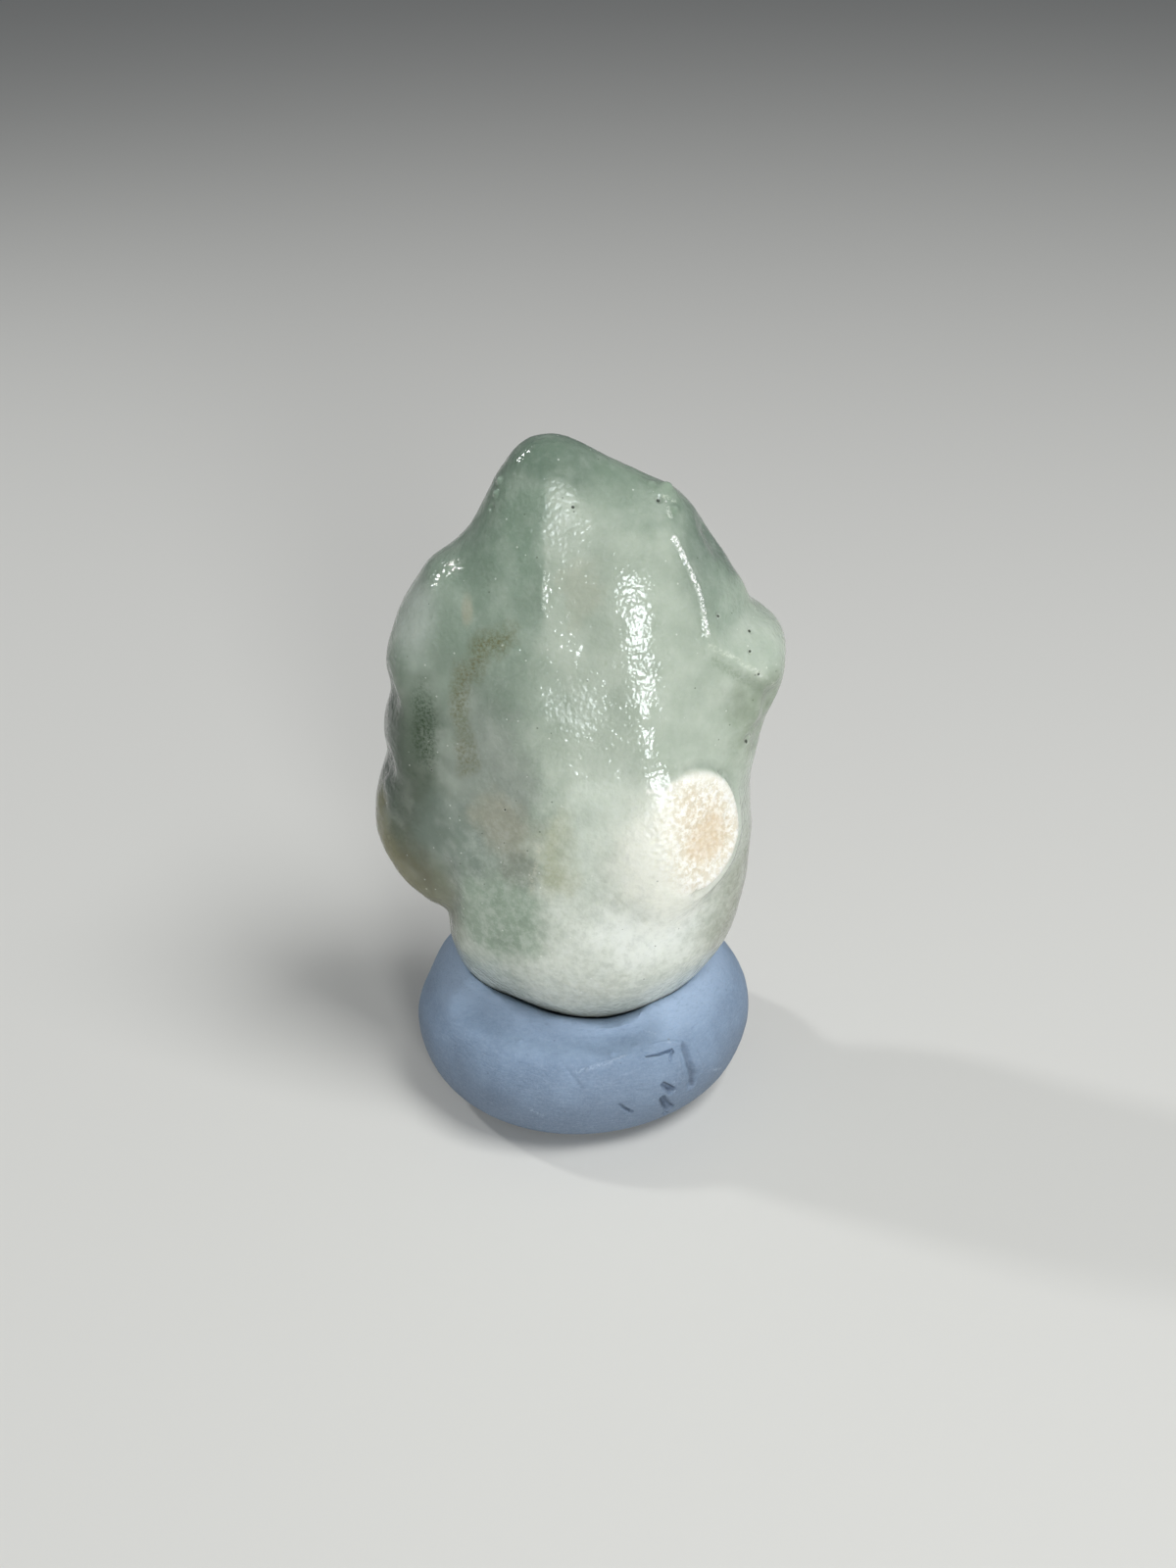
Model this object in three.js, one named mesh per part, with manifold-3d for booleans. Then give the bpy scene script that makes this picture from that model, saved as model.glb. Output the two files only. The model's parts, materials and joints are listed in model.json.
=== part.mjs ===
// A green Gobi agate pebble that stands on end in a pressed ball of blue-grey putty.
// Millimetres, +Z up. The origin lies on the table under the middle of the object.
// The front of the stone, which has the white crystal eye, faces -Y.
import * as THREE from "three";
import { mergeVertices } from "three/addons/utils/BufferGeometryUtils.js";
import Module from "manifold-3d";

// Driving dimensions of the stone
const STONE_FOOT_Z = 5.5;
const STONE_PEAK_Z = 47.8;
const STONE_MIDDLE = { x: 0, z: 27 };
const PEAK_LEAN_BACK = { depth: 1.8, fromZ: 14 };
const LEFT_SET_BACK = { depth: 1.6, fromX: -7, toX: -13.5, fromZ: 34, toZ: 22 };
const STONE_DETAIL = 18;
// Below 1 the cross-sections are fuller than an ellipse
const FULLNESS = 0.9;
// The small bumps of the outline fade out from the rim to this share of the way out
const BUMPS_FROM = 0.55;

// Driving dimensions of the putty
const PUTTY_RADIUS = 12.2;
const PUTTY_HEIGHT = 10.0;
const PUTTY_MIDDLE_X = 0.5;
const PUTTY_FOOT_RADIUS = 8.2;
const STONE_GAP = 0.3;
// The squeeze of the fingers, as waves round the putty: how many, how strong and where they start
const SQUEEZES = [{ waves: 2, depth: 0.012, start: 0.6 }, { waves: 3, depth: 0.008, start: 2.1 }];

// The outline of the stone seen from the front, as [x, z], anticlockwise from the tip of the knob
const OUTLINE = {
  knobTop: [[14.1, 34.0], [13.5, 35.3], [12.3, 36.3], [11.2, 37.0]],
  rightShoulder: [[10.6, 38.6], [9.5, 40.5], [8.1, 42.6], [7.2, 43.7]],
  chippedLump: [[6.4, 44.5], [5.7, 44.9], [5.1, 44.9], [4.3, 45.5]],
  topEdge: [[2.8, 46.1], [1.0, 46.9], [-0.5, 47.5]],
  peak: [[-1.6, STONE_PEAK_Z], [-2.5, 47.7], [-3.6, 47.0]],
  leftShoulder: [[-4.6, 45.8], [-5.6, 44.2], [-6.2, 42.8], [-7.5, 41.0], [-8.4, 40.2]],
  leftBulge: [[-9.1, 40.0], [-9.9, 38.9], [-10.9, 37.4], [-11.7, 36.0], [-12.3, 34.4]],
  scallops: [
    [-12.6, 32.8], [-12.3, 31.0], [-12.7, 29.4], [-13.1, 27.4], [-12.9, 25.7], [-13.4, 23.9],
  ],
  lowerLeftLobe: [[-14.0, 21.8], [-14.1, 20.2], [-13.6, 18.1], [-12.4, 15.9], [-10.4, 14.5]],
  notch: [[-9.3, 13.6], [-9.2, 12.4]],
  foot: [
    [-8.9, 10.9], [-7.7, 8.4], [-5.6, 6.6], [-2.6, 5.8], [0.6, STONE_FOOT_Z], [3.9, 5.8],
    [6.9, 7.1], [9.5, 9.3], [11.1, 12.0],
  ],
  rightSide: [[11.9, 15.2], [12.3, 18.8], [12.3, 21.8], [12.0, 24.4]],
  knobRoot: [[12.3, 26.3], [12.8, 28.6], [13.2, 30.0], [13.9, 31.9]],
};

// Thickness of the stone in front of and behind its rim, as [height, thickness]
const FRONT_THICKNESS = [[5, 8.0], [14, 8.8], [22, 8.9], [30, 8.4], [38, 7.4], [44, 6.6], [49, 6.0]];
const BACK_THICKNESS = [[5, 7.4], [14, 8.2], [22, 8.0], [30, 7.4], [38, 6.6], [44, 5.6], [49, 4.8]];

// The left flat and the rounded right side of the front meet in a ridge that runs down from the peak
const RIDGE = {
  topX: -1.6, topZ: 47, lowX: -2.6, lowZ: 17,
  depth: 8.3, topShare: 0.72, fullDepthZ: 34,
  leftFall: 0.46, rightCurve: 0.02, round: 1.0,
};
// A sharper ridge turns the right shoulder away from the front
const SHOULDER_RIDGE = {
  topX: 6.2, topZ: 44.5, lowX: 8.9, lowZ: 37.5,
  depth: 6.2, fall: 1.0, round: 0.5, runOut: 1.5,
};
// The rounded egg of the foot stands forward of the lower left lobe
const EGG = { x: 1.2, z: 15.6, width: 10.2, height: 10.3, depth: 8.9, round: 0.8 };

// Gentle swells (positive) and hollows (negative) of the front and the back
const FRONT_SWELLS = {
  rightFlank: { x: 4.8, z: 39.0, width: 3.0, height: 6.0, depth: 0.7 },
  brow: { x: 5.2, z: 29.5, width: 3.2, height: 3.0, depth: 0.5 },
  waist: { x: 1.5, z: 34.0, width: 6.5, height: 1.8, depth: -0.3 },
  leftLump: { x: -9.8, z: 38.2, width: 2.0, height: 2.6, depth: 0.9 },
  leftSaddle: { x: -7.6, z: 41.0, width: 2.2, height: 2.4, depth: -0.4 },
  leftDish: { x: -9.0, z: 31.5, width: 3.0, height: 3.0, depth: -0.5 },
  lowerLobe: { x: -11.0, z: 23.5, width: 3.0, height: 3.2, depth: 0.5 },
  lobeCleft: { x: -9.4, z: 16.4, width: 1.8, height: 1.8, depth: -1.2 },
  knob: { x: 11.4, z: 35.2, width: 2.1, height: 2.1, depth: 0.8 },
  aboveKnob: { x: 9.4, z: 38.6, width: 1.3, height: 1.6, depth: -0.5 },
  underKnob: { x: 10.6, z: 32.0, width: 1.8, height: 1.0, depth: -0.6 },
  chippedLump: { x: 5.6, z: 44.2, width: 0.9, height: 0.8, depth: 0.5 },
  chipPit: { x: 4.5, z: 44.0, width: 0.7, height: 0.8, depth: -0.5 },
};
const BACK_SWELLS = {
  broadDish: { x: 3.5, z: 33.0, width: 6.5, height: 7.0, depth: -1.3 },
  keel: { x: -6.5, z: 26.0, width: 4.0, height: 7.0, depth: 0.9 },
  hip: { x: 6.5, z: 19.0, width: 4.0, height: 4.0, depth: 0.8 },
  shoulder: { x: -3.5, z: 40.5, width: 3.5, height: 3.0, depth: 0.6 },
  footDish: { x: 0.5, z: 15.0, width: 2.6, height: 3.2, depth: -0.7 },
  behindKnob: { x: 11.0, z: 34.0, width: 2.2, height: 2.2, depth: -0.6 },
};

// The crystal eye is the flat end of a short stub that points forward and to the right.
// It steps down sharply on its right and runs out gently on its left.
const EYE = {
  x: 7.2, z: 23.5, turn: 42, tip: 8, halfWidth: 3.8, halfHeight: 4.6,
  rise: 1.7, step: 0.8, runOut: 3.4, flatness: 0.8,
};

const lerp = (a, b, t) => a + (b - a) * t;
const clamp01 = (t) => Math.min(1, Math.max(0, t));
const smoothstep = (low, high, v) => {
  const t = clamp01((v - low) / (high - low));
  return t * t * (3 - 2 * t);
};
const degrees = (angle) => (angle * Math.PI) / 180;

// The smaller of a and b, with the corner between them rounded over the width round
function roundedMin(a, b, round) {
  const h = Math.max(round - Math.abs(a - b), 0) / round;
  return Math.min(a, b) - (h * h * round) / 4;
}

function roundedMax(a, b, round) {
  return -roundedMin(-a, -b, round);
}

// A value read from [position, value] pairs, on a smooth curve through them
function along(pairs, position) {
  const last = pairs.length - 1;
  const clamped = Math.min(Math.max(position, pairs[0][0]), pairs[last][0]);
  const i = Math.max(1, pairs.findIndex(([p]) => p >= clamped));
  const slope = (k) => {
    const [p0, v0] = pairs[Math.max(k - 1, 0)];
    const [p1, v1] = pairs[Math.min(k + 1, last)];
    return (v1 - v0) / (p1 - p0);
  };
  const [p0, v0] = pairs[i - 1];
  const [p1, v1] = pairs[i];
  const span = p1 - p0;
  const t = (clamped - p0) / span;
  const rise = t * t * (3 - 2 * t);
  const startPull = t * (1 - t) * (1 - t) * span * slope(i - 1);
  const endPull = t * t * (t - 1) * span * slope(i);
  return lerp(v0, v1, rise) + startPull + endPull;
}

function swellSum(swells, x, z) {
  let sum = 0;
  for (const s of Object.values(swells)) {
    const across = (x - s.x) / s.width;
    const up = (z - s.z) / s.height;
    sum += s.depth * Math.exp(-across * across - up * up);
  }
  return sum;
}

// The distance from the middle of the stone to its outline, for every direction
function outlineReach() {
  const STEPS = 720;
  const points = Object.values(OUTLINE).flat().map(([x, z]) => new THREE.Vector2(x, z));
  const curve = new THREE.CatmullRomCurve3(
    points.map((p) => new THREE.Vector3(p.x - STONE_MIDDLE.x, 0, p.y - STONE_MIDDLE.z)),
    true,
    "centripetal",
  );
  const samples = curve
    .getPoints(STEPS * 2)
    .map((p) => ({ angle: Math.atan2(p.z, p.x), reach: Math.hypot(p.x, p.z) }))
    .sort((a, b) => a.angle - b.angle);
  const table = new Array(STEPS);
  let k = 0;
  for (let i = 0; i < STEPS; i++) {
    const angle = -Math.PI + (2 * Math.PI * i) / STEPS;
    while (k < samples.length - 1 && samples[k].angle < angle) k++;
    table[i] = samples[k].reach;
  }
  return (angle) => {
    const place = (((angle + Math.PI) / (2 * Math.PI)) * STEPS + STEPS) % STEPS;
    const low = Math.floor(place) % STEPS;
    return lerp(table[low], table[(low + 1) % STEPS], place - Math.floor(place));
  };
}

// The same reach with its small bumps averaged out, which shapes the middle of the faces
function smoothedReach(reach) {
  const HALF_WINDOW = degrees(24);
  const TAPS = 12;
  return (angle) => {
    let sum = 0;
    for (let i = -TAPS; i <= TAPS; i++) sum += reach(angle + (HALF_WINDOW * i) / TAPS);
    return sum / (2 * TAPS + 1);
  };
}

// How far the front stands forward of the rim, where the plain pillow would stand depth forward
function frontRelief(x, z, depth) {
  const down = clamp01((RIDGE.topZ - z) / (RIDGE.topZ - RIDGE.lowZ));
  const fromRidge = x - lerp(RIDGE.topX, RIDGE.lowX, down);
  const drop = fromRidge < 0 ? -RIDGE.leftFall * fromRidge : RIDGE.rightCurve * fromRidge * fromRidge;
  const crest = RIDGE.depth * lerp(RIDGE.topShare, 1, smoothstep(RIDGE.topZ, RIDGE.fullDepthZ, z));
  let relief = roundedMin(depth, crest - drop, RIDGE.round);

  const shoulderDown = (SHOULDER_RIDGE.topZ - z) / (SHOULDER_RIDGE.topZ - SHOULDER_RIDGE.lowZ);
  const fromShoulder = x - lerp(SHOULDER_RIDGE.topX, SHOULDER_RIDGE.lowX, shoulderDown);
  const shoulder = SHOULDER_RIDGE.depth - SHOULDER_RIDGE.fall * fromShoulder;
  const runOut = SHOULDER_RIDGE.runOut;
  const above = smoothstep(SHOULDER_RIDGE.lowZ - runOut, SHOULDER_RIDGE.lowZ + runOut, z);
  relief = lerp(relief, roundedMin(relief, shoulder, SHOULDER_RIDGE.round), above);

  const eggAcross = (x - EGG.x) / EGG.width;
  const eggUp = (z - EGG.z) / EGG.height;
  const eggInside = 1 - eggAcross * eggAcross - eggUp * eggUp;
  if (eggInside > 0) relief = roundedMax(relief, EGG.depth * Math.sqrt(eggInside), EGG.round);
  return relief;
}

// Lifts the stub of the crystal eye out of the surface
function liftEye(point, surfaceDepth) {
  const turn = degrees(EYE.turn);
  const tip = degrees(EYE.tip);
  const axis = new THREE.Vector3(Math.sin(turn), -Math.cos(turn), Math.tan(tip)).normalize();
  const across = new THREE.Vector3(Math.cos(turn), Math.sin(turn), 0);
  const upward = axis.clone().cross(across);
  const offset = point.clone().sub(new THREE.Vector3(EYE.x, surfaceDepth, EYE.z));
  const height = offset.dot(axis);
  if (height < -EYE.halfHeight) return;
  const right = offset.dot(across) / EYE.halfWidth;
  const share = Math.hypot(right, offset.dot(upward) / EYE.halfHeight);
  const leftness = smoothstep(0.5 * share, -0.8 * share, right);
  const edge = lerp(EYE.step, EYE.runOut, leftness) / EYE.halfWidth;
  const plateau = smoothstep(1 + edge, 1 - edge / 2, share);
  point.addScaledVector(axis, plateau * (EYE.rise - EYE.flatness * height));
}

// The point of the stone's surface in the direction of the unit vector n
function stonePoint(n, reach, smoothReach) {
  const angle = Math.atan2(n.z, n.x);
  const rim = Math.hypot(n.x, n.z);
  const toRim = smoothstep(BUMPS_FROM, 1, rim);
  const distance = Math.pow(rim, FULLNESS) * lerp(smoothReach(angle), reach(angle), toRim);
  const x = STONE_MIDDLE.x + distance * Math.cos(angle);
  const z = STONE_MIDDLE.z + distance * Math.sin(angle);
  const lean = PEAK_LEAN_BACK.depth * smoothstep(PEAK_LEAN_BACK.fromZ, STONE_PEAK_Z, z);
  const setBack = LEFT_SET_BACK.depth
    * smoothstep(LEFT_SET_BACK.fromX, LEFT_SET_BACK.toX, x)
    * smoothstep(LEFT_SET_BACK.fromZ, LEFT_SET_BACK.toZ, z);
  const rimY = lean + setBack;
  const bulge = Math.pow(Math.abs(n.y), FULLNESS);
  const swellShare = 1 - toRim * toRim;
  if (n.y < 0) {
    const plain = along(FRONT_THICKNESS, z) * bulge;
    const depth = frontRelief(x, z, plain) + swellShare * swellSum(FRONT_SWELLS, x, z);
    return new THREE.Vector3(x, rimY - depth, z);
  }
  const depth = along(BACK_THICKNESS, z) * bulge + swellShare * swellSum(BACK_SWELLS, x, z);
  return new THREE.Vector3(x, rimY + depth, z);
}

function makeStoneGeometry() {
  const sphere = new THREE.IcosahedronGeometry(1, STONE_DETAIL);
  sphere.deleteAttribute("normal");
  sphere.deleteAttribute("uv");
  const geometry = mergeVertices(sphere, 1e-4);
  const reach = outlineReach();
  const smoothReach = smoothedReach(reach);
  const position = geometry.getAttribute("position");
  const n = new THREE.Vector3();
  const points = [];
  for (let i = 0; i < position.count; i++) {
    n.fromBufferAttribute(position, i).normalize();
    points.push(stonePoint(n, reach, smoothReach));
  }
  const front = points.filter((p) => p.y < 0);
  const fromEye = (p) => Math.hypot(p.x - EYE.x, p.z - EYE.z);
  const eyeDepth = front.reduce((a, b) => (fromEye(b) < fromEye(a) ? b : a)).y;
  points.forEach((p, i) => {
    liftEye(p, eyeDepth);
    position.setXYZ(i, p.x, p.y, p.z);
  });
  geometry.computeVertexNormals();
  return geometry;
}

// The stone grown by the gap on all sides, which is what the putty takes the print of
function makeGrownStone(stoneGeometry) {
  const grown = stoneGeometry.clone();
  const position = grown.getAttribute("position");
  const normal = grown.getAttribute("normal");
  for (let i = 0; i < position.count; i++) {
    position.setXYZ(
      i,
      position.getX(i) + normal.getX(i) * STONE_GAP,
      position.getY(i) + normal.getY(i) * STONE_GAP,
      position.getZ(i) + normal.getZ(i) * STONE_GAP,
    );
  }
  grown.deleteAttribute("normal");
  return grown;
}

// A ball of putty pressed flat on the table, a little uneven from the hand
function makePuttyBall() {
  const ROUND_STEPS = 48;
  const HEIGHT_STEPS = 16;
  const CROWN_FULLNESS = 0.62;
  const profile = [new THREE.Vector2(0, 0), new THREE.Vector2(PUTTY_FOOT_RADIUS, 0)];
  for (let i = 1; i < HEIGHT_STEPS; i++) {
    const angle = lerp(-Math.PI / 2, Math.PI / 2, i / HEIGHT_STEPS);
    const half = PUTTY_HEIGHT / 2;
    const side = PUTTY_RADIUS - PUTTY_FOOT_RADIUS;
    const flank = PUTTY_FOOT_RADIUS + side * Math.cos(angle);
    const crown = PUTTY_RADIUS * Math.pow(Math.cos(angle), CROWN_FULLNESS);
    profile.push(new THREE.Vector2(angle > 0 ? crown : flank, half + half * Math.sin(angle)));
  }
  profile.push(new THREE.Vector2(0, PUTTY_HEIGHT));
  const lathe = new THREE.LatheGeometry(profile, ROUND_STEPS);
  lathe.rotateX(Math.PI / 2);
  lathe.deleteAttribute("normal");
  lathe.deleteAttribute("uv");
  const geometry = mergeVertices(lathe, 1e-4);
  const position = geometry.getAttribute("position");
  for (let i = 0; i < position.count; i++) {
    const x = position.getX(i);
    const y = position.getY(i);
    const z = position.getZ(i);
    const angle = Math.atan2(y, x);
    const uneven = SQUEEZES.reduce((sum, q) => sum + q.depth * Math.sin(q.waves * angle + q.start), 1);
    position.setXYZ(i, x * uneven + PUTTY_MIDDLE_X, y * uneven, z);
  }
  return geometry;
}

const wasm = await Module();
wasm.setup();

function toSolid(geometry) {
  return new wasm.Manifold(
    new wasm.Mesh({
      numProp: 3,
      vertProperties: geometry.getAttribute("position").array,
      triVerts: new Uint32Array(geometry.index.array),
    }),
  );
}

function toGeometry(solid) {
  const mesh = solid.getMesh();
  const geometry = new THREE.BufferGeometry();
  geometry.setAttribute("position", new THREE.BufferAttribute(mesh.vertProperties, 3));
  geometry.setIndex(new THREE.BufferAttribute(mesh.triVerts, 1));
  geometry.computeVertexNormals();
  return geometry;
}

const stoneGeometry = makeStoneGeometry();
const puttySolid = toSolid(makePuttyBall()).subtract(toSolid(makeGrownStone(stoneGeometry)));

const agateMaterial = new THREE.MeshStandardMaterial({ color: 0xa9b8a8, roughness: 0.3, metalness: 0 });
const puttyMaterial = new THREE.MeshStandardMaterial({ color: 0x8499b3, roughness: 0.75, metalness: 0 });

const stone = new THREE.Mesh(stoneGeometry, agateMaterial);
stone.name = "agate";
const putty = new THREE.Mesh(toGeometry(puttySolid), puttyMaterial);
putty.name = "putty_stand";

const part = new THREE.Group();
part.add(stone, putty);

export default part;
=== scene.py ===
# %% [markdown]
# # A Gobi agate in a ball of putty
# A small green agate from a stony desert stands on end in a pressed ball of blue-grey putty.
# Wind and sand have worn its skin to a waxy gloss full of tiny pimples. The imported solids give
# the true form and size, and this script dresses them. Two smooth blobs with one colour each
# would be a quick stand-in. What makes this stone itself is the line between its dark and its
# pale side, the white crystal eye, the knob, the ledges and the pits, so they get cells of
# their own.

# %% Load the frame
import json
import math

import bpy
import numpy as np
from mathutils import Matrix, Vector, noise

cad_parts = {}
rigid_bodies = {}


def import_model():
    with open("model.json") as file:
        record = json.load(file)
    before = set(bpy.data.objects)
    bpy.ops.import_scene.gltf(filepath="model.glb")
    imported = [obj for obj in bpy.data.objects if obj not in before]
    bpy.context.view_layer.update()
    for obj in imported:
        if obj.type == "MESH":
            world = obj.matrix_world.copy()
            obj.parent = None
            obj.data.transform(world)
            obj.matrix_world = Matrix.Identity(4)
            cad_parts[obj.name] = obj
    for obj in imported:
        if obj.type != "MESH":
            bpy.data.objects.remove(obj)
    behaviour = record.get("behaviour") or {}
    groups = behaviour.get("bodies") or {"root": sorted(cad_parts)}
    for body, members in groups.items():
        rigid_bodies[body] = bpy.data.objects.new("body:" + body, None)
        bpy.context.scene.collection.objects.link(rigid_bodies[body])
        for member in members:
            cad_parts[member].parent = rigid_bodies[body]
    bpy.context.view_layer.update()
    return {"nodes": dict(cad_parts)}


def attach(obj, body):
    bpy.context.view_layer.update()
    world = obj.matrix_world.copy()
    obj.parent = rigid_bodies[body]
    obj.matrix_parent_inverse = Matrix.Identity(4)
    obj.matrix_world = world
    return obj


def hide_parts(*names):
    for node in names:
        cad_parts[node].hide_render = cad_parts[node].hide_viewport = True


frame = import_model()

MM = 0.001
print("nodes:", sorted(frame["nodes"]))

# %% [markdown]
# ## The camera
# The photograph looks down on the stone by about 31 degrees from close by, so the near foot
# looks larger than the far peak. A camera could be aimed with a constraint. Plain numbers are
# used here, because the distance, the height and the lens then stay easy to read. The lens is
# a short one for so small a thing, which is how a phone sees it.

# %% Camera
CAMERA_PITCH = math.radians(31)
CAMERA_DISTANCE = 120 * MM
CAMERA_AIM = Vector((0.9, 0, 23.5)) * MM
CAMERA_LENS = 40

towards_camera = Vector((0, -math.cos(CAMERA_PITCH), math.sin(CAMERA_PITCH)))
bpy.ops.object.camera_add(
    location=CAMERA_AIM + towards_camera * CAMERA_DISTANCE,
    rotation=(math.pi / 2 - CAMERA_PITCH, 0, 0),
)
camera = bpy.context.object
camera.name = "photo_view"
camera.data.lens = CAMERA_LENS
camera.data.clip_start = 1 * MM
camera.data.clip_end = 20
bpy.context.scene.camera = camera
print("camera stands", [round(v / MM) for v in camera.location], "mm from the origin")

# %% [markdown]
# ## One piece at a time
# An operator acts on everything that is selected, so each step first selects its own piece and
# nothing else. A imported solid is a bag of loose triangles, and its own mesh is left alone. A
# copy of it is merged into one skin, and the copy becomes the new piece.


# %% Copy a solid and apply modifiers
def work_on(piece):
    """Selects this piece alone and makes it the active one."""
    bpy.ops.object.select_all(action="DESELECT")
    piece.select_set(True)
    bpy.context.view_layer.objects.active = piece


def copy_of_solid(node, name):
    """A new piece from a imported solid's triangles, merged into one skin."""
    piece = bpy.data.objects.new(name, frame["nodes"][node].data.copy())
    bpy.context.scene.collection.objects.link(piece)
    piece.data.materials.clear()
    work_on(piece)
    bpy.ops.object.mode_set(mode="EDIT")
    bpy.ops.mesh.select_all(action="SELECT")
    bpy.ops.mesh.remove_doubles(threshold=0.001 * MM)
    bpy.ops.object.mode_set(mode="OBJECT")
    return piece


def modify(piece, kind, **settings):
    """Adds one modifier, gives it its settings and applies it."""
    work_on(piece)
    modifier = piece.modifiers.new(kind.lower(), kind)
    for setting, value in settings.items():
        setattr(modifier, setting, value)
    bpy.ops.object.modifier_apply(modifier=modifier.name)


# %% [markdown]
# ## The stone's body
# The solid has facets of about a millimetre. A Subdivision Surface alone would keep the uneven
# star of triangles at its poles, so the copy is remeshed into even squares first. The Smooth
# modifier then melts the facets, as wind has melted the real stone's edges.

# %% Stone body
STONE_VOXEL = 0.46 * MM

stone = copy_of_solid("agate", "gobi_agate")
modify(stone, "REMESH", mode="VOXEL", voxel_size=STONE_VOXEL, use_smooth_shade=True)
modify(stone, "SMOOTH", factor=0.5, iterations=12)
print("stone body:", len(stone.data.polygons), "faces")

# %% [markdown]
# ## Brush strokes
# In a sculpting window a brush would raise or press the skin along a line. The same stroke is
# written here as a few places in millimetres, a width and a height. The places are first
# dropped onto the skin, and every vertex near the line moves along its own normal, most in the
# middle and not at all at the width. Written strokes can be read and repeated, and a painted
# stroke can't. A stroke can also move the skin straight up or down, as a thumb from above does.
# Restless lines use Blender's noise, which starts from the clock unless it is given a seed.


# %% Brush
STROKE_STEP = 0.4
UNREST_WAVES = 0.9
UNREST_SEED = 1
noise.seed_set(UNREST_SEED)


def surface(piece):
    """The places of a piece's vertices in millimetres, and their normals."""
    count = len(piece.data.vertices)
    points = np.empty(count * 3)
    normals = np.empty(count * 3)
    piece.data.vertices.foreach_get("co", points)
    piece.data.vertex_normals.foreach_get("vector", normals)
    return points.reshape(-1, 3) / MM, normals.reshape(-1, 3)


def place_surface(piece, points):
    """Puts the vertices at these places, in millimetres."""
    piece.data.vertices.foreach_set("co", (points * MM).ravel())
    piece.data.update()


def drop_on_skin(piece, places, unrest=0.0, step=STROKE_STEP):
    """A line through places, cut into short steps, each dropped on the skin and a little restless."""
    line = [Vector(places[0])]
    for start, end in zip(map(Vector, places[:-1]), map(Vector, places[1:])):
        pieces = max(1, round((end - start).length / step))
        line += [start.lerp(end, i / pieces) for i in range(1, pieces + 1)]
    line = [place + noise.noise_vector(place * UNREST_WAVES) * unrest for place in line]
    return np.array([piece.closest_point_on_mesh(place * MM)[1] / MM for place in line])


def distance_to_line(points, line):
    """How far each point is from the bent line, and how far along it, from 0 to 1."""
    nearest = np.linalg.norm(points - line[0], axis=1)
    travel = np.zeros(len(points))
    for i, (start, end) in enumerate(zip(line[:-1], line[1:])):
        along = end - start
        share = np.clip((points - start) @ along / max(along @ along, 1e-9), 0, 1)
        distance = np.linalg.norm(points - start - share[:, None] * along, axis=1)
        closer = distance < nearest
        nearest[closer] = distance[closer]
        travel[closer] = (i + share[closer]) / (len(line) - 1)
    return nearest, travel


def stroke(piece, places, width, height, unrest=0.0, thin_start=1.0, straight_up=False):
    """Raises the skin along a line, which may start thin, by its normals or straight up."""
    line = drop_on_skin(piece, places, unrest)
    points, normals = surface(piece)
    distance, travel = distance_to_line(points, line)
    size = thin_start + (1 - thin_start) * travel
    share = np.clip(1 - distance / (width * size), 0, 1)
    lift = height * size * share * share * (3 - 2 * share)
    place_surface(piece, points + (np.array([0, 0, 1]) if straight_up else normals) * lift[:, None])


# %% [markdown]
# ## Swells, ledges and scoops
# These are the forms that catch the light from a step away: the two swells that carry the
# sparks down the pale side, the sharp crest on the right shoulder, the ledge under the knob,
# the cleft between the foot and the lower left lobe, and shallow scoops where flakes came off
# long ago. Broad strokes go on the coarse skin, where a few vertices move a lot of stone.

# %% Broad strokes on the stone
BRIGHT_SWELL = [(3.3, -3.0, 42.2), (3.5, -4.4, 39.6), (3.7, -5.6, 36.4), (4.2, -6.4, 33.4)]
LOW_SWELL = [(4.2, -6.4, 33.4), (4.9, -7.0, 31.0), (5.8, -7.4, 29.0)]
SHOULDER_CREST = [
    (6.3, -1.9, 42.5), (7.0, -2.4, 41.5), (7.6, -2.7, 40.3), (8.1, -3.0, 39.0), (8.5, -4.0, 36.9),
]
KNOB_LEDGE = [
    (8.6, -4.2, 36.2), (9.9, -3.8, 35.3), (10.9, -3.6, 34.6), (12.0, -3.1, 33.6), (13.0, -2.4, 32.3),
]
UNDER_LEDGE = [(9.2, -4.4, 35.2), (10.6, -4.0, 33.8), (11.8, -3.6, 32.8), (12.8, -2.8, 31.8)]
LOBE_CLEFT = [(-9.4, -1.0, 13.4), (-8.9, -3.6, 15.4), (-8.3, -4.9, 17.6), (-8.6, -4.9, 20.0)]
# Each line has its width, its height, how restless it is and how thin it starts.
LINES = {
    "swell of the pale side": (BRIGHT_SWELL, 4.2, 0.20, 0.0, 1.0),
    "swell below it": (LOW_SWELL, 2.6, 0.10, 0.0, 1.0),
    "crest of the shoulder": (SHOULDER_CREST, 1.6, 0.16, 0.0, 1.0),
    "ledge of the knob": (KNOB_LEDGE, 0.8, 0.08, 0.0, 1.0),
    "hollow under the ledge": (UNDER_LEDGE, 1.0, -0.28, 0.15, 0.4),
    "cleft of the lobe": (LOBE_CLEFT, 1.5, -0.40, 0.3, 1.0),
}
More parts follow.
